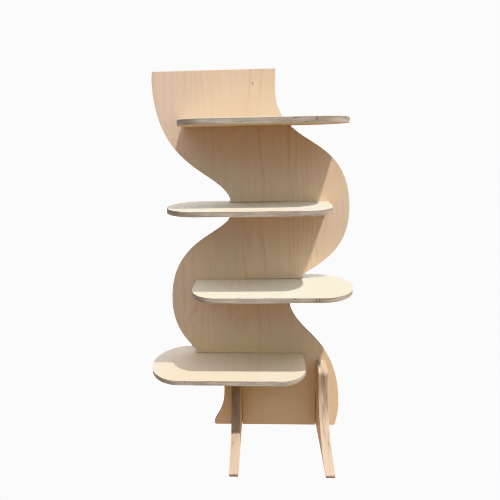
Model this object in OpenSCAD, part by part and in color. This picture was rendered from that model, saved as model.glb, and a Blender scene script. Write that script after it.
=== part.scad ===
// Spine bookshelf: a wavy back panel, four shelves and two feet of birch plywood,
// slotted into one another with cross laps. The shelves hang out to alternate sides:
// 1 (the top one) and 3 to the right, 2 and 4 to the left.
// The floor is Z = 0, the panel's middle plane is Y = 0 and the front faces -Y.
// X = 0 lies midway between the feet.

/* [Heights] */
// Top of the lowest shelf above the floor
shelf_4_top = 273; // [260:1:340]
// Step from the lowest shelf up to shelf 3
step_3 = 264; // [210:1:330]
// Step from shelf 3 up to shelf 2
step_2 = 256; // [210:1:330]
// Step from shelf 2 up to the top shelf
step_1 = 256; // [210:1:330]
// Height of the panel above the top shelf
upstand = 151; // [100:1:220]

/* [Plywood] */
// Thickness of the back panel
panel_t = 18; // [12:1:30]
// Thickness of the shelves
shelf_t = 18; // [12:1:30]
// Thickness of the feet
foot_t = 30; // [18:1:40]
// Play beside a piece in its slot, on each side
slot_gap = 0.5; // [0.1:0.05:1]

/* [Shelves] */
// Length of a shelf
shelf_l = 500; // [420:1:600]
// Depth in front of the panel's face
shelf_front = 162; // [130:1:200]
// Depth behind the panel's front face
shelf_back = 54; // [42:1:80]
// Radius of the front corner at the square end
corner_r = 81; // [10:1:100]
// Radius of the back corner at the square end
back_corner_r = 12; // [2:1:20]
// Middle of each shelf right of X = 0, from the top one down
shelf_mid = [-41, -90, -19, -165]; // [-220:1:120]

/* [Left edge of the panel] */
// At the top of the panel: X, and the curve's reach below it
left_top = [-380, 16]; // [-450:1:100]
// Crest over shelf 1: X, height above that shelf's top, reach above and below
left_crest_1 = [-383, 126, 9, 305]; // [-450:1:340]
// Waist at shelf 2: X, drop below that shelf's top, reach above and below
left_waist_2 = [-145, 19, 126, 93]; // [-250:1:250]
// Crest at shelf 3: X, drop below that shelf's top, reach above and below
left_crest_3 = [-355, 78, 237, 178]; // [-420:1:250]
// Waist at shelf 4: X, drop below that shelf's top, reach above and below
left_waist_4 = [-189, 121, 102, 140]; // [-250:1:250]
// Where the wave would run to under the floor: X, depth, reach above
left_tail = [-240, 65, 120]; // [-420:1:250]

/* [Right edge of the panel] */
// At the top of the panel: X, and the curve's reach below it
right_top = [-2, 18]; // [-60:1:100]
// Waist over shelf 1: X, height above that shelf's top, reach above and below
right_waist_1 = [-4, 95, 18, 193]; // [-60:1:340]
// Crest at shelf 2: X, drop below that shelf's top, reach above and below
right_crest_2 = [229, 26, 256, 198]; // [0:1:350]
// Waist at shelf 3: X, drop below that shelf's top, reach above and below
right_waist_3 = [36, 52, 88, 151]; // [0:1:250]
// Crest at shelf 4: X, drop below that shelf's top, reach above and below
right_crest_4 = [208, 191, 272, 123]; // [0:1:320]
// Where the wave would run to under the floor: X, depth, reach above
right_tail = [82, 300, 20]; // [0:1:250]

/* [Panel corners] */
// Radius of the panel's two top corners
top_corner_r = 3; // [1:1:20]
// Radius of the panel's two bottom corners
bottom_corner_r = 8; // [1:1:10]
// Radius of the lips above and below a slot's mouth
lip_r = 5; // [1:1:8]
// Height of the upright lip above a slot's mouth
lip_h = 13; // [10:1:16]
// Stretch of edge kept free of the wave's own points beside a slot or corner
lip_room = 18; // [18:1:30]

/* [Feet] */
// Middle of each foot from X = 0
foot_x = 143; // [90:1:150]
// Height of a foot above the floor
foot_h = 249; // [180:1:254]
// Reach of the toe in front of the panel's face
foot_reach = 228; // [160:1:280]
// Depth of the heel behind the panel's front face
foot_heel = 54; // [36:1:80]
// Depth of the upright in front of the panel's face
foot_web = 67; // [50:1:100]
// Drop from a foot's top to where the upright starts to sweep out into the toe
sweep_drop = 20; // [20:1:80]
// Height of the toe's top at its tip
toe_h = 12; // [11:0.5:30]
// Slope of the toe's top at its tip, in degrees
toe_slope = 17; // [10:1:40]
// Reach of the sweep's curve at the upright, and at the tip
sweep_reach = [175, 55]; // [40:1:200]
// Radius of the upright's top front corner
upright_r = 18; // [2:1:25]
// Radius of the toe's tip
toe_r = 4; // [1:0.5:5]
// Radius of the heel's corners
heel_r = 8; // [2:1:12]

/* [Pads] */
// Thickness of the felt pad under a toe
pad_t = 5; // [2:0.5:8]
// Length of a pad
pad_l = 40; // [20:1:60]
// Inset of a pad from the toe's tip and sides
pad_inset = 1; // [0:0.5:4]

/* [Hidden] */
$fn = 96;
CURVE_STEPS = 24;   // points on one stretch of an edge, crest to waist
ARC_STEPS = 8;      // points on one rounded corner
PANEL = [0.86, 0.75, 0.60];
SHELF = [0.95, 0.88, 0.76];
FOOT = [0.85, 0.73, 0.57];
FELT = [0.50, 0.47, 0.44];

// Top of each shelf, counted from the top one down; entry 0 is the panel's top
shelf_top = [
    shelf_4_top + step_3 + step_2 + step_1 + upstand,
    shelf_4_top + step_3 + step_2 + step_1,
    shelf_4_top + step_3 + step_2,
    shelf_4_top + step_3,
    shelf_4_top
];
panel_h = shelf_top[0];
face_y = -panel_t / 2;                     // the panel's front face
front_y = face_y - shelf_front;            // the shelves' front edge
back_y = face_y + shelf_back;              // the shelves' back edge
end_r = (back_y - front_y) / 2;            // the shelves' half-round end
tip_y = face_y - foot_reach;               // the toes' tip
heel_y = face_y + foot_heel;
foot_lap = (foot_h + pad_t) / 2;           // where panel and foot meet in their laps

// ---- Curves -------------------------------------------------------------

// Cubic curve from a to d with handles b and c, without its last point
function cubic(a, b, c, d) = [
    for (i = [0 : CURVE_STEPS - 1])
        let (t = i / CURVE_STEPS, s = 1 - t)
            s*s*s * a + 3*s*s*t * b + 3*s*t*t * c + t*t*t * d
];

// Edge through rows of [x, z, reach above, reach below], upright at each row
function wave(rows) = [
    for (i = [0 : len(rows) - 2])
        let (p = rows[i], q = rows[i + 1])
            each cubic(
                [p[0], p[1]], [p[0], p[1] - p[3]],
                [q[0], q[1] + q[2]], [q[0], q[1]])
];

// Where an edge lies at height z
function edge_x(edge, z) = lookup(z, [for (p = edge) [p[1], p[0]]]);

function unit(v) = v / norm(v);

// Arc of radius r in the corner at p, between the points before and after it
function corner(before, p, after, r) =
    let (
        u = unit(before - p),
        v = unit(after - p),
        half = acos(u * v) / 2,
        centre = p + unit(u + v) * r / sin(half),
        from = p + u * r / tan(half) - centre,
        to = p + v * r / tan(half) - centre,
        start = atan2(from.y, from.x),
        sweep = (atan2(to.y, to.x) - start + 540) % 360 - 180
    ) [
        for (i = [0 : ARC_STEPS])
            let (a = start + sweep * i / ARC_STEPS)
                centre + r * [cos(a), sin(a)]
    ];

// Outline through rows of [x, y, corner radius]
function rounded(path) = [
    for (i = [0 : len(path) - 1])
        let (
            last = path[(i + len(path) - 1) % len(path)],
            here = path[i],
            next = path[(i + 1) % len(path)],
            p = [here[0], here[1]]
        ) each here[2] > 0
            ? corner([last[0], last[1]], p, [next[0], next[1]], here[2])
            : [p]
];

function reversed(list) = [for (i = [len(list) - 1 : -1 : 0]) list[i]];

// ---- Cross laps between shelves and panel --------------------------------

left_edge = wave([
    [left_top[0], panel_h, 0, left_top[1]],
    [left_crest_1[0], shelf_top[1] + left_crest_1[1], left_crest_1[2], left_crest_1[3]],
    [left_waist_2[0], shelf_top[2] - left_waist_2[1], left_waist_2[2], left_waist_2[3]],
    [left_crest_3[0], shelf_top[3] - left_crest_3[1], left_crest_3[2], left_crest_3[3]],
    [left_waist_4[0], shelf_top[4] - left_waist_4[1], left_waist_4[2], left_waist_4[3]],
    [left_tail[0], -left_tail[1], left_tail[2], 0]
]);
right_edge = wave([
    [right_top[0], panel_h, 0, right_top[1]],
    [right_waist_1[0], shelf_top[1] + right_waist_1[1], right_waist_1[2], right_waist_1[3]],
    [right_crest_2[0], shelf_top[2] - right_crest_2[1], right_crest_2[2], right_crest_2[3]],
    [right_waist_3[0], shelf_top[3] - right_waist_3[1], right_waist_3[2], right_waist_3[3]],
    [right_crest_4[0], shelf_top[4] - right_crest_4[1], right_crest_4[2], right_crest_4[3]],
    [right_tail[0], -right_tail[1], right_tail[2], 0]
]);

// Side a shelf hangs out to: 1 is right, -1 is left
function side(shelf) = shelf % 2 == 1 ? 1 : -1;

// X of a shelf's square end, and of the end of the laps, halfway across the overlap
function end_x(shelf) = shelf_mid[shelf - 1] - side(shelf) * shelf_l / 2;
function lap_x(shelf) =
    let (edge = side(shelf) == 1 ? right_edge : left_edge)
        (end_x(shelf) + edge_x(edge, shelf_top[shelf] - shelf_t / 2)) / 2;

// The panel's slot for a shelf, from the mouth in and out again, going down
function notch(edge, shelf) =
    let (
        lip = shelf_top[shelf] + lip_h,
        high = shelf_top[shelf] + 2 * slot_gap,
        low = shelf_top[shelf] - shelf_t,
        x = lap_x(shelf) - side(shelf) * slot_gap
    ) [
        [edge_x(edge, lip), lip, lip_r], [edge_x(edge, lip), high, 0], [x, high, 0],
        [x, low, 0], [edge_x(edge, low), low, lip_r]
    ];

// One edge of the panel from top to bottom, with the slots that open on it
function slotted_edge(edge, shelves) =
    let (
        highs = concat([panel_h], [for (s = shelves) shelf_top[s] - shelf_t]),
        lows = concat([for (s = shelves) shelf_top[s]], [0])
    ) concat(
        [[edge_x(edge, panel_h), panel_h, top_corner_r]],
        [
            for (i = [0 : len(shelves)])
                each concat(
                    [
                        for (p = edge)
                            if (p[1] < highs[i] - lip_room && p[1] > lows[i] + lip_room)
                                [p[0], p[1], 0]
                    ],
                    i < len(shelves) ? notch(edge, shelves[i]) : [])
        ],
        [[edge_x(edge, 0), 0, bottom_corner_r]]
    );

// ---- Pieces ---------------------------------------------------------------

module back_panel() {
    half = foot_t / 2 + slot_gap;
    foot_slots = [
        for (x = [-foot_x, foot_x])
            each [[x - half, 0, 0], [x - half, foot_lap, 0], [x + half, foot_lap, 0], [x + half, 0, 0]]
    ];
    color(PANEL)
        rotate([90, 0, 0])
            linear_extrude(panel_t, center = true)
                polygon(rounded(concat(
                    slotted_edge(left_edge, [2, 4]),
                    foot_slots,
                    reversed(slotted_edge(right_edge, [1, 3])))));
}

// Plan of a shelf with its square end at x = 0 and its half-round end at x = shelf_l
module shelf_plan() {
    difference() {
        union() {
            translate([0, front_y])
                square([shelf_l - end_r, 2 * end_r]);
            translate([shelf_l - end_r, front_y + end_r])
                circle(end_r);
        }
        corner_cut(0, front_y, corner_r, 1);
        corner_cut(0, back_y, back_corner_r, -1);
    }
}

// What rounding takes off a corner of radius r; dir points from it along Y
module corner_cut(x, y, r, dir) {
    difference() {
        translate([x - 1, y + (dir < 0 ? -r : -1)])
            square(r + 1);
        translate([x + r, y + dir * r])
            circle(r);
    }
}

module shelf(number) {
    slot_l = abs(lap_x(number) - end_x(number)) + slot_gap;
    slot_w = panel_t + 2 * slot_gap;
    color(SHELF)
        translate([end_x(number), 0, shelf_top[number] - shelf_t])
            mirror([side(number) < 0 ? 1 : 0, 0, 0])
                linear_extrude(shelf_t)
                    difference() {
                        shelf_plan();
                        translate([-1, -slot_w / 2])
                            square([slot_l + 1, slot_w]);
                    }
}

// Side view of a foot in Y and Z, with the slot that straddles the panel
module foot(x) {
    slot_y = panel_t / 2 + slot_gap;
    web_y = face_y - foot_web;
    sweep_h = foot_h - sweep_drop;
    slope = [cos(toe_slope), sin(toe_slope)];
    sweep = cubic(
        [web_y, sweep_h],
        [web_y, sweep_h - sweep_reach[0]],
        [tip_y, toe_h] + sweep_reach[1] * slope,
        [tip_y, toe_h]);
    color(FOOT)
        translate([x - foot_t / 2, 0, 0])
            rotate([90, 0, 90])
                linear_extrude(foot_t)
                    polygon(rounded(concat(
                        [
                            [tip_y, pad_t, pad_inset],
                            [heel_y, pad_t, heel_r],
                            [heel_y, foot_h, heel_r],
                            [slot_y, foot_h, 0], [slot_y, foot_lap, 0],
                            [-slot_y, foot_lap, 0], [-slot_y, foot_h, 0],
                            [web_y, foot_h, upright_r]
                        ],
                        [for (p = sweep) [p[0], p[1], 0]],
                        [[tip_y, toe_h, toe_r]])));
}

module pad(x) {
    color(FELT)
        translate([x - foot_t / 2 + pad_inset, tip_y + pad_inset, 0])
            cube([foot_t - 2 * pad_inset, pad_l, pad_t]);
}

back_panel();
shelf(1);  // shelf_1
shelf(2);  // shelf_2
shelf(3);  // shelf_3
shelf(4);  // shelf_4
foot(-foot_x);  // left_foot
foot(foot_x);  // right_foot
pad(-foot_x);  // left_pad
pad(foot_x);  // right_pad
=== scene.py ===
from math import radians

import bmesh
import bpy
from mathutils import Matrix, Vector


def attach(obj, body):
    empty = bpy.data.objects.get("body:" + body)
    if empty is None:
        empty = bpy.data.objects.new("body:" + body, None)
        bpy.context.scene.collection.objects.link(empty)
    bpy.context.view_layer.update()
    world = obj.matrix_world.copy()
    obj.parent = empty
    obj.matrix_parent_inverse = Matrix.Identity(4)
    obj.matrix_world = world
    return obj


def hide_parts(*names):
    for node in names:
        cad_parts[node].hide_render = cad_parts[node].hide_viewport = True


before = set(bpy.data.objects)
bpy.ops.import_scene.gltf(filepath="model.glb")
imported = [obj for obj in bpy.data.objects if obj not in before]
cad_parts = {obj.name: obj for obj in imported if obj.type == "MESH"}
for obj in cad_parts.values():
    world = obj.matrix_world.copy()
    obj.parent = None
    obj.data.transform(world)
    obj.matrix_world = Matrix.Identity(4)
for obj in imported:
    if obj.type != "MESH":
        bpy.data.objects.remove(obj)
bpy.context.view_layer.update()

# ---- Sizes, in metres -------------------------------------------------------------

PANEL_FRONT = -0.009          # the panel's show face
PANEL_THICK = 0.018
SHELF_THICK = 0.018
SHELF_FRONT = -0.171
SHELF_TOPS = {"shelf_1": 1.049, "shelf_2": 0.793, "shelf_3": 0.537, "shelf_4": 0.273}
FOOT_INSIDE = {"left_foot": -0.128, "right_foot": 0.128}   # the faces turned to each other
FOOT_THICK = 0.030
PADS = ("left_pad", "right_pad")

PLIES = 13                    # in a panel or shelf
FOOT_PLIES = 21

ARRIS = 0.0014                # rounding that sandpaper leaves on a plywood corner
FELT_ROUND = 0.0009
ROUND_STEPS = 3
CURVE_ANGLE = radians(32)     # corners flatter than this belong to a sawn curve
FLAT_ANGLE = radians(0.5)     # and faces closer than this to one plane are one face
WELD = 0.00001

# ---- Camera -----------------------------------------------------------------------

LENS = 28.88                  # millimetres
SHIFT = (0.0072, -0.0733)     # shares of the picture's width
EYE = (-0.0451, -1.2734, 0.9809)
TURN = (radians(79.996), radians(1.131), radians(2.246))

camera_data = bpy.data.cameras.new("camera")
camera_data.lens = LENS
camera_data.shift_x, camera_data.shift_y = SHIFT
camera = bpy.data.objects.new("camera", camera_data)
camera.location = EYE
camera.rotation_euler = TURN
bpy.context.scene.collection.objects.link(camera)
bpy.context.scene.camera = camera


# ---- Node bench -------------------------------------------------------------------

class Finish:
    """The nodes of a material or of the room: each call lays one down and hands back
    its output."""

    def __init__(self, owner, last="Principled BSDF"):
        owner.use_nodes = True
        self.owner = owner
        self.tree = owner.node_tree
        self.surface = self.tree.nodes[last]

    def preset(self, constants):
        """What is the same all over, straight on the surface's own sockets."""
        for socket, value in constants.items():
            self.surface.inputs[socket].default_value = value

    def node(self, kind, output=0, inputs=None, **settings):
        made = self.tree.nodes.new("ShaderNode" + kind)
        for name, value in settings.items():
            setattr(made, name, value)
        for socket, value in (inputs or {}).items():
            self.feed(made.inputs[socket], value)
        return made.outputs[output]

    def feed(self, socket, value):
        if isinstance(value, bpy.types.NodeSocket):
            self.tree.links.new(value, socket)
        else:
            socket.default_value = value

    def math(self, operation, *values):
        return self.node("Math", operation=operation, inputs=dict(enumerate(values)))

    def times(self, a, b):
        return self.math("MULTIPLY", a, b)

    def plus(self, a, b):
        return self.math("ADD", a, b)

    def less(self, share, by):
        """1, less so much of share."""
        return self.plus(self.times(share, -by), 1.0)

    def between(self, share, a, b):
        """The number that lies that share of the way from a to b."""
        return self.node("Mix", output=0, data_type="FLOAT", inputs={0: share, 2: a, 3: b})

    def sway(self, share, swing):
        """A factor of 1, give or take swing."""
        return self.between(share, 1.0 - swing, 1.0 + swing)

    def fade(self, value, start, end, first=0.0, last=1.0):
        """Soft step from first to last while value goes from start to end."""
        return self.node("MapRange", interpolation_type="SMOOTHSTEP", inputs={
            "Value": value, "From Min": start, "From Max": end,
            "To Min": first, "To Max": last})

    def split(self, vector):
        parts = self.node("SeparateXYZ", inputs={0: vector}).node
        return dict(zip("XYZ", parts.outputs))

    def join(self, x, y, z):
        return self.node("CombineXYZ", inputs={0: x, 1: y, 2: z})

    def noise(self, vector, detail=2.0, rough=0.5, bend=0.0):
        return self.node("TexNoise", inputs={
            "Vector": vector, "Scale": 1.0, "Detail": detail,
            "Roughness": rough, "Distortion": bend})

    def grit(self, place, per_metre, detail=2.0, rough=0.5, bend=0.0):
        """Noise that is the same size in every direction."""
        spread = self.node("VectorMath", operation="SCALE", inputs={0: place, 3: per_metre})
        return self.noise(spread, detail, rough, bend)

    def spot(self, place, centre, size):
        """1 inside an oval about centre, fading to 0 at its rim."""
        away = self.node("VectorMath", operation="SUBTRACT", inputs={0: place, 1: centre})
        away = self.node("VectorMath", operation="DIVIDE", inputs={0: away, 1: size})
        away = self.node("VectorMath", output="Value", operation="LENGTH", inputs={0: away})
        return self.fade(away, 0.45, 1.0, 1.0, 0.0)

    def blend(self, share, a, b, how="MIX"):
        return self.node("Mix", output=2, data_type="RGBA", blend_type=how,
                         inputs={0: share, 6: a, 7: b})

    def stain(self, colour, shade, green, blue):
        """Colour times shade, raised to a power in green and blue, so that dark is warm."""
        darker = self.join(shade, self.math("POWER", shade, green),
                           self.math("POWER", shade, blue))
        return self.blend(1.0, colour, darker, "MULTIPLY")

    def finish(self, colour, rough, height, relief):
        """Joins it all to the surface; relief is the height of the bumps in metres."""
        self.feed(self.surface.inputs["Base Color"], colour)
        self.feed(self.surface.inputs["Roughness"], rough)
        bump = self.node("Bump", inputs={"Strength": 1.0, "Distance": relief, "Height": height})
        self.feed(self.surface.inputs["Normal"], bump)
        return self.owner


# ---- Birch plywood ----------------------------------------------------------------

# The veneer on both faces
RINGS = 46                    # growth rings in a metre across the grain
RING_BEND, RING_RIPPLE = 11.0, 1.6     # rings that a slow bend and a ripple move a line by
LATE_FROM, LATE_FULL = 0.45, 0.88      # where in a ring late wood starts and is darkest
RING_DARK, FLECK_DARK = 0.11, 0.10
BAND_SWAY, THREAD_SWAY, FIBRE_SWAY = 0.04, 0.04, 0.06
VENEER_WARMTH = (1.25, 1.6)   # powers of the shade in green and in blue
BACK_VENEER = 4.3             # sets the back veneer's pattern apart from the front's
# Yellow tint for the low panel: painted warm light thrown up from the floor
PAINTED_FLOOR_LIGHT = (0.97, 0.965, 0.86, 1)
PLAIN_GRAIN = 0.3             # what is left of the lines where the veneer is plain
PLAIN_REACH = (-0.04, 0.12)   # metres over which the veneer turns plain and takes the painted floor light
VENEER_ROUGH = (0.44, 0.60)

# The plies on a sawn edge
PRESS_WAVE = 0.0005           # metres that the press leaves a ply from level
LONG_GRAIN, END_GRAIN = 1.28, 0.74
PATCH_SWAY, SPECK_SWAY = 0.28, 0.14
GLUE_LINE = (0.02, 0.13)      # where a glue line fades, in shares of a ply
GAP_AT = (0.79, 0.83)         # only noise this high opens a gap
GLUE_DARK, GAP_DARK = 0.34, 0.7
EDGE_WARMTH = (1.12, 1.3)
EDGE_ROUGH = (0.70, 0.88)

# The whole board
LEVEL_FACE = (0.35, 0.8)      # from all edge to all veneer, by how squarely a face looks out
# Dark of the rounded corners: grime, and on the panel painted shade along its edges
GRIME_AND_RIM_SHADE = (0.20, 0.16, 0.13, 1)
KNOT = (0.085, 0.045, 0.022, 1)
KNOT_SINK = 0.8
WOOD_GLOSS = 0.38
WOOD_RELIEF = 0.00018


def birch(name, lay, show, inward, thick, plies, seed, pale, warm, edge,
          grain=1.0, stripe=0.2, plain_and_floor_lit_to=-1.0, worn_and_shaded=0.12, figure=(), knots=()):
    """Birch plywood as a solid: veneer figure on both faces, stacked plies on every sawn edge.

    lay names the axes along the face grain, across it and through the sheet. show is
    where the show face lies on the last of them, and inward is 1 or -1, the way in.
    seed tells one sheet from the next. grain is how bold the veneer's lines are, stripe
    how bold the plies' streaks and worn_and_shaded how dark the rounded corners: grime,
    and where it is high, as on the panel, painted shade along the edges. Below
    plain_and_floor_lit_to along the grain the veneer is plain and yellower, a painted
    warm light from the floor. figure lists the places where the rings
    close into eyes, and knots the small dark marks."""
    f = Finish(bpy.data.materials.new(name))
    place = f.node("TexCoord", output="Object")
    at = f.split(place)
    facing = f.split(f.node("NewGeometry", output="Normal"))
    along, across, through = (at[axis] for axis in lay)
    face_along, face_across, face_through = (facing[axis] for axis in lay)

    def on_edge(per_metre, layer, detail):
        """Noise that runs round the sheet and differs from layer to layer."""
        spread = f.join(f.times(along, per_metre), f.times(across, per_metre), layer)
        return f.noise(spread, detail)

    # Depth into the sheet, and the ply that it falls in
    depth = f.times(f.math("SUBTRACT", through, show), inward)
    press = f.times(f.math("SUBTRACT", on_edge(28, seed, 1.0), 0.5), PRESS_WAVE)
    level = f.math("DIVIDE", f.plus(depth, press), thick / plies)
    ply = f.math("MINIMUM", f.math("MAXIMUM", f.math("FLOOR", level), 0.0), plies - 1.0)
    in_ply = f.math("SUBTRACT", level, ply)
    odd = f.math("MODULO", ply, 2.0)
    far_side = f.math("GREATER_THAN", depth, thick / 2)
    sheet = f.plus(f.times(far_side, BACK_VENEER), seed)

    def on_face(per_across, per_along, detail=1.0, rough=0.5):
        """Noise with so many waves a metre across the grain and along it."""
        spread = f.join(f.times(across, per_across), f.times(along, per_along), sheet)
        return f.noise(spread, detail, rough)

    # Rotary veneer: growth rings cut as slow contour lines
    bend = f.plus(f.times(on_face(5, 0.9), RING_BEND), f.times(on_face(15, 5), RING_RIPPLE))
    contour = f.plus(f.times(across, RINGS), bend)
    for mid_across, mid_along, half_across, half_along, rings in figure:
        u = f.math("DIVIDE", f.math("SUBTRACT", across, mid_across), half_across)
        v = f.math("DIVIDE", f.math("SUBTRACT", along, mid_along), half_along)
        hill = f.math("EXPONENT", f.times(f.plus(f.times(u, u), f.times(v, v)), -1.0))
        contour = f.plus(contour, f.times(hill, rings))
    ring = f.math("FRACT", contour)
    which = f.node("TexWhiteNoise", noise_dimensions="1D",
                   inputs={"W": f.math("FLOOR", contour)})
    strength = f.plus(f.times(which, 0.8), 0.2)
    late_wood = f.times(f.fade(ring, LATE_FROM, LATE_FULL),
                        f.fade(ring, LATE_FULL, 1.0, 1.0, 0.0))
    late_wood = f.times(late_wood, strength)
    late_wood = f.times(late_wood, f.fade(on_face(8, 2.2), 0.38, 0.62, 0.15, 1.0))
    bands = on_face(62, 1.3, 2.0)
    threads = on_face(230, 3.1)
    fibre = on_face(620, 13, 3.0, 0.6)
    fleck = f.fade(on_face(1300, 150), 0.66, 0.78)
    clouds = on_face(4.5, 2.6, 2.0)

    shade = f.times(f.less(late_wood, RING_DARK), f.sway(bands, BAND_SWAY))
    shade = f.times(shade, f.sway(threads, THREAD_SWAY))
    shade = f.times(shade, f.sway(fibre, FIBRE_SWAY))
    shade = f.times(shade, f.less(fleck, FLECK_DARK))
    # Low on the panel: plainer grain, and a painted warm light from the floor
    plain_and_floor_lit = f.fade(along, *(plain_and_floor_lit_to + reach for reach in PLAIN_REACH), 1.0, 0.0)
    shade = f.between(f.between(plain_and_floor_lit, grain, PLAIN_GRAIN * grain), 1.0, shade)
    veneer = f.blend(f.fade(clouds, 0.36, 0.64), pale, warm)
    # Painted warm light from the floor, yellowing the panel near the ground
    veneer = f.blend(plain_and_floor_lit, veneer, PAINTED_FLOOR_LIGHT, "MULTIPLY")
    veneer = f.stain(veneer, shade, *VENEER_WARMTH)

    # Sawn edge: end grain and long grain take turns, with a glue line between
    end_share = f.between(odd, f.times(face_along, face_along),
                          f.times(face_across, face_across))
    patches = on_edge(26, f.times(ply, 5.7), 2.0)
    streaks = on_edge(11, f.times(depth, 150), 2.0)
    speck = f.grit(place, 1500)
    glue = f.math("MINIMUM", in_ply, f.math("SUBTRACT", 1.0, in_ply))
    glue = f.fade(glue, *GLUE_LINE, 1.0, 0.0)
    gap = f.fade(on_edge(34, f.times(ply, 9.1), 0.0), *GAP_AT)
    tone = f.times(f.between(end_share, LONG_GRAIN, END_GRAIN), f.sway(patches, PATCH_SWAY))
    tone = f.times(tone, f.fade(streaks, 0.32, 0.68, 1.0 - stripe, 1.0 + stripe))
    tone = f.times(tone, f.sway(speck, SPECK_SWAY))
    tone = f.times(tone, f.less(glue, GLUE_DARK))
    tone = f.times(tone, f.less(gap, GAP_DARK))
    core = f.stain(edge, tone, *EDGE_WARMTH)

    # Faces, edges and the rounded corners between them, darkened by grime and, on the panel, by
    # painted shade
    flat = f.math("ABSOLUTE", face_through)
    sawn = f.fade(flat, *LEVEL_FACE, 1.0, 0.0)
    arris = f.times(f.times(flat, f.math("SUBTRACT", 1.0, flat)), 4.0)
    # Corner darkening: grime, and where the corner darkness is high, as on the panel, painted
    # shade
    grime_and_rim_shade = f.times(arris, f.between(f.grit(place, 45), 0.0, worn_and_shaded))
    colour = f.blend(grime_and_rim_shade, f.blend(sawn, veneer, core), GRIME_AND_RIM_SHADE)
    rough = f.between(sawn, f.between(fibre, *VENEER_ROUGH), f.between(speck, *EDGE_ROUGH))
    height = f.between(sawn, f.plus(f.times(fibre, 0.5), f.times(late_wood, -0.4)),
                       f.plus(f.times(speck, 0.7), f.times(f.plus(glue, gap), -0.8)))
    for centre, size, depth_of_colour in knots:
        mark = f.times(f.spot(place, centre, size), depth_of_colour)
        colour = f.blend(mark, colour, KNOT)
        height = f.plus(height, f.times(mark, -KNOT_SINK))
    f.preset({"Specular IOR Level": WOOD_GLOSS})
    return f.finish(colour, rough, height, WOOD_RELIEF)


# ---- Felt -------------------------------------------------------------------------

WOOL_DARK = (0.17, 0.15, 0.125, 1)
WOOL_LIGHT = (0.33, 0.30, 0.25, 1)
LINT = (0.42, 0.38, 0.31, 1)
FELT_RELIEF = 0.0005


def felt(name):
    """Pressed wool felt, cut from a sheet."""
    f = Finish(bpy.data.materials.new(name))
    place = f.node("TexCoord", output="Object")
    hair = f.grit(place, 1900, 4.0, 0.7, 1.5)
    lint = f.grit(place, 330, 3.0)
    colour = f.blend(f.fade(hair, 0.3, 0.7), WOOL_DARK, WOOL_LIGHT)
    colour = f.blend(f.fade(lint, 0.56, 0.7, 0.0, 0.5), colour, LINT)
    f.preset({"Sheen Weight": 0.35, "Sheen Roughness": 0.6, "Specular IOR Level": 0.15})
    return f.finish(colour, f.between(hair, 0.9, 1.0), f.plus(hair, lint), FELT_RELIEF)


# ---- Pieces -----------------------------------------------------------------------

def sanded(node, radius, material):
    """The CAD piece with its corners eased."""
    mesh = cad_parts[node].data.copy()
    shape = bmesh.new()
    shape.from_mesh(mesh)
    bmesh.ops.remove_doubles(shape, verts=shape.verts, dist=WELD)
    bmesh.ops.dissolve_limit(
        shape, angle_limit=FLAT_ANGLE, verts=shape.verts, edges=shape.edges)
    crisp = [e for e in shape.edges if e.calc_face_angle(0) > CURVE_ANGLE]
    bmesh.ops.bevel(
        shape, geom=crisp, offset=radius, segments=ROUND_STEPS, profile=0.5,
        affect="EDGES", material=-1, clamp_overlap=True)
    for face in shape.faces:
        face.smooth = True
    shape.to_mesh(mesh)
    shape.free()
    mesh.set_sharp_from_angle(angle=CURVE_ANGLE)
    mesh.materials.clear()
    mesh.materials.append(material)
    piece = bpy.data.objects.new(node + "_sanded", mesh)
    bpy.context.scene.collection.objects.link(piece)
    weights = piece.modifiers.new("even_faces", "WEIGHTED_NORMAL")
    weights.keep_sharp = True
    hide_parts(node)
    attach(piece, "root")


def tinted(colour, tint):
    """The colour with a tint over it, and opaque."""
    return tuple(c * t for c, t in zip(colour, tint)) + (1,)


PANEL_PALE = (0.552, 0.427, 0.300, 1)
PANEL_WARM = (0.588, 0.430, 0.284, 1)
PLY_EDGE = (0.345, 0.297, 0.226, 1)
PANEL_SEED = 1.7
# Below this height the panel's grain is plainer and it takes the painted floor light
PLAIN_AND_FLOOR_LIT_TO = 0.30
PANEL_FIGURE = (              # middle across and along, half sizes, rings in the eye
    (-0.148, 0.378, 0.036, 0.075, 2.4),
    (-0.103, 0.650, 0.026, 0.150, 1.7),
    (-0.106, 0.860, 0.024, 0.160, 2.0),
    (0.211, 0.800, 0.022, 0.030, 1.8),
    (-0.290, 0.398, 0.026, 0.022, 0.7),
)
PANEL_KNOT = ((-0.0726, PANEL_FRONT, 1.1575), (0.0021, 0.003, 0.0058), 0.9)

sanded("back_panel", ARRIS, birch(
    "panel_birch", lay="ZXY", show=PANEL_FRONT, inward=1, thick=PANEL_THICK, plies=PLIES,
    seed=PANEL_SEED, pale=PANEL_PALE, warm=PANEL_WARM, edge=PLY_EDGE,
    # The panel's rounded edges are darkened far more: mostly painted shade along them
    plain_and_floor_lit_to=PLAIN_AND_FLOOR_LIT_TO, worn_and_shaded=0.9, figure=PANEL_FIGURE, knots=(PANEL_KNOT,)))

# Each shelf comes from a sheet of its own colour
SHELF_PALE = (0.515, 0.471, 0.350)
SHELF_WARM = (0.547, 0.477, 0.331)
SHELF_SEED, NEXT_SHELF = 11.3, 3.1
SHEET_TINT = {"shelf_1": (1.0, 1.0, 1.0), "shelf_2": (1.06, 1.05, 1.07),
              "shelf_3": (1.12, 1.14, 1.16), "shelf_4": (0.96, 0.91, 0.86)}
EDGE_MARKS = {                # centre, half sizes, strength
    "shelf_1": (((0.101, SHELF_FRONT, 1.041), (0.0042, 0.004, 0.0034), 0.8),),
    "shelf_3": (((0.105, SHELF_FRONT, 0.5285), (0.0016, 0.004, 0.011), 0.75),
                ((0.114, SHELF_FRONT, 0.5285), (0.0016, 0.004, 0.011), 0.75)),
    "shelf_4": (((-0.291, SHELF_FRONT, 0.267), (0.0020, 0.008, 0.006), 0.8),),
}

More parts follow.
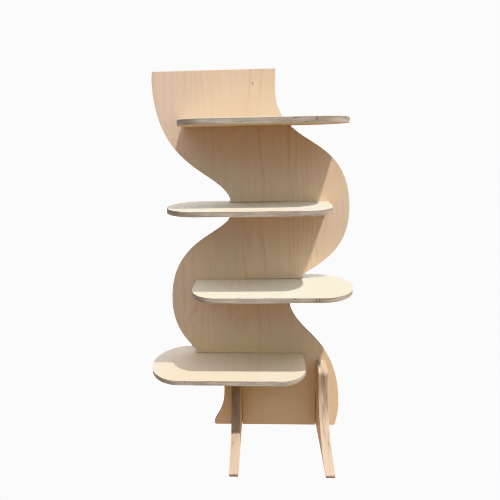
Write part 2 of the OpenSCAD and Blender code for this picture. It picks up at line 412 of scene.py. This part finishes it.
for number, (node, top) in enumerate(SHELF_TOPS.items()):
    sanded(node, ARRIS, birch(
        node + "_birch", lay="YXZ", show=top, inward=-1, thick=SHELF_THICK, plies=PLIES,
        seed=SHELF_SEED + NEXT_SHELF * number,
        pale=tinted(SHELF_PALE, SHEET_TINT[node]), warm=tinted(SHELF_WARM, SHEET_TINT[node]),
        edge=PLY_EDGE, grain=0.85, knots=EDGE_MARKS.get(node, ())))

# The feet are sawn from a thicker blank
FOOT_EDGE = (0.318, 0.218, 0.144)
FOOT_SEED, FOOT_APART = 31.9, 7.7
BLANK_TINT = {"left_foot": (0.83, 0.88, 0.86), "right_foot": (0.95, 1.03, 1.03)}
BLANK_STRIPE = {"left_foot": 0.10, "right_foot": 0.23}

for node, inside in FOOT_INSIDE.items():
    outward = 1 if inside > 0 else -1
    sanded(node, ARRIS, birch(
        node + "_birch", lay="ZYX", show=inside, inward=outward, thick=FOOT_THICK,
        plies=FOOT_PLIES, seed=FOOT_SEED + FOOT_APART * outward,
        pale=PANEL_PALE, warm=PANEL_WARM, edge=tinted(FOOT_EDGE, BLANK_TINT[node]),
        stripe=BLANK_STRIPE[node]))

wool = felt("pressed_felt")
for node in PADS:
    sanded(node, FELT_ROUND, wool)

# ---- Room -------------------------------------------------------------------------

FLOOR_SIZE = 60
FLOOR_GLOW = 2.2
KEY_FROM = Vector((0.33, -0.195, 1.0))
KEY_AWAY = 3
KEY_SPREAD = radians(1.6)
KEY_ENERGY = 8.0
BACKDROP = (0.667, 0.667, 0.667, 1)
SKY_ENERGY = 3.6
# Warm light off the sunny ground below, cool light from overhead
SKY = ((0.0, (0.536, 0.365, 0.235, 1)), (0.333, (0.068, 0.053, 0.087, 1)),
       (0.667, (0.140, 0.176, 0.160, 1)), (1.0, (0.690, 0.690, 0.900, 1)))

bpy.ops.mesh.primitive_plane_add(size=FLOOR_SIZE)
floor = bpy.context.object
floor.name = "floor"
paint = Finish(bpy.data.materials.new("floor_paint"))
paint.preset({
    "Base Color": (0.05, 0.05, 0.05, 1), "Roughness": 0.9, "Specular IOR Level": 0.0,
    "Emission Color": (1, 1, 1, 1), "Emission Strength": FLOOR_GLOW})
floor.data.materials.append(paint.owner)
# The sky already holds the light that the ground throws up
floor.visible_diffuse = False
floor.visible_glossy = False
floor.visible_shadow = False

lamp = bpy.data.lights.new("key", "SUN")
lamp.angle = KEY_SPREAD
lamp.energy = KEY_ENERGY
key = bpy.data.objects.new("key", lamp)
bpy.context.scene.collection.objects.link(key)
key.location = KEY_FROM * KEY_AWAY
key.rotation_euler = KEY_FROM.to_track_quat("Z", "Y").to_euler()

room = Finish(bpy.data.worlds.new("room"), "Background")
room.preset({"Strength": SKY_ENERGY})
up = room.split(room.node("TexCoord", output="Generated"))["Z"]
tint = room.node("ValToRGB", inputs={
    0: room.node("MapRange", inputs={"Value": up, "From Min": -1.0})})
marks = tint.node.color_ramp.elements
for stop, _ in SKY[1:-1]:
    marks.new(stop)
for mark, (_, colour) in zip(marks, SKY):
    mark.color = colour
seen = room.blend(room.node("LightPath", output="Is Camera Ray"), tint, BACKDROP)
room.feed(room.surface.inputs["Color"], seen)
bpy.context.scene.world = room.owner
bpy.context.scene.view_settings.view_transform = "Khronos PBR Neutral"
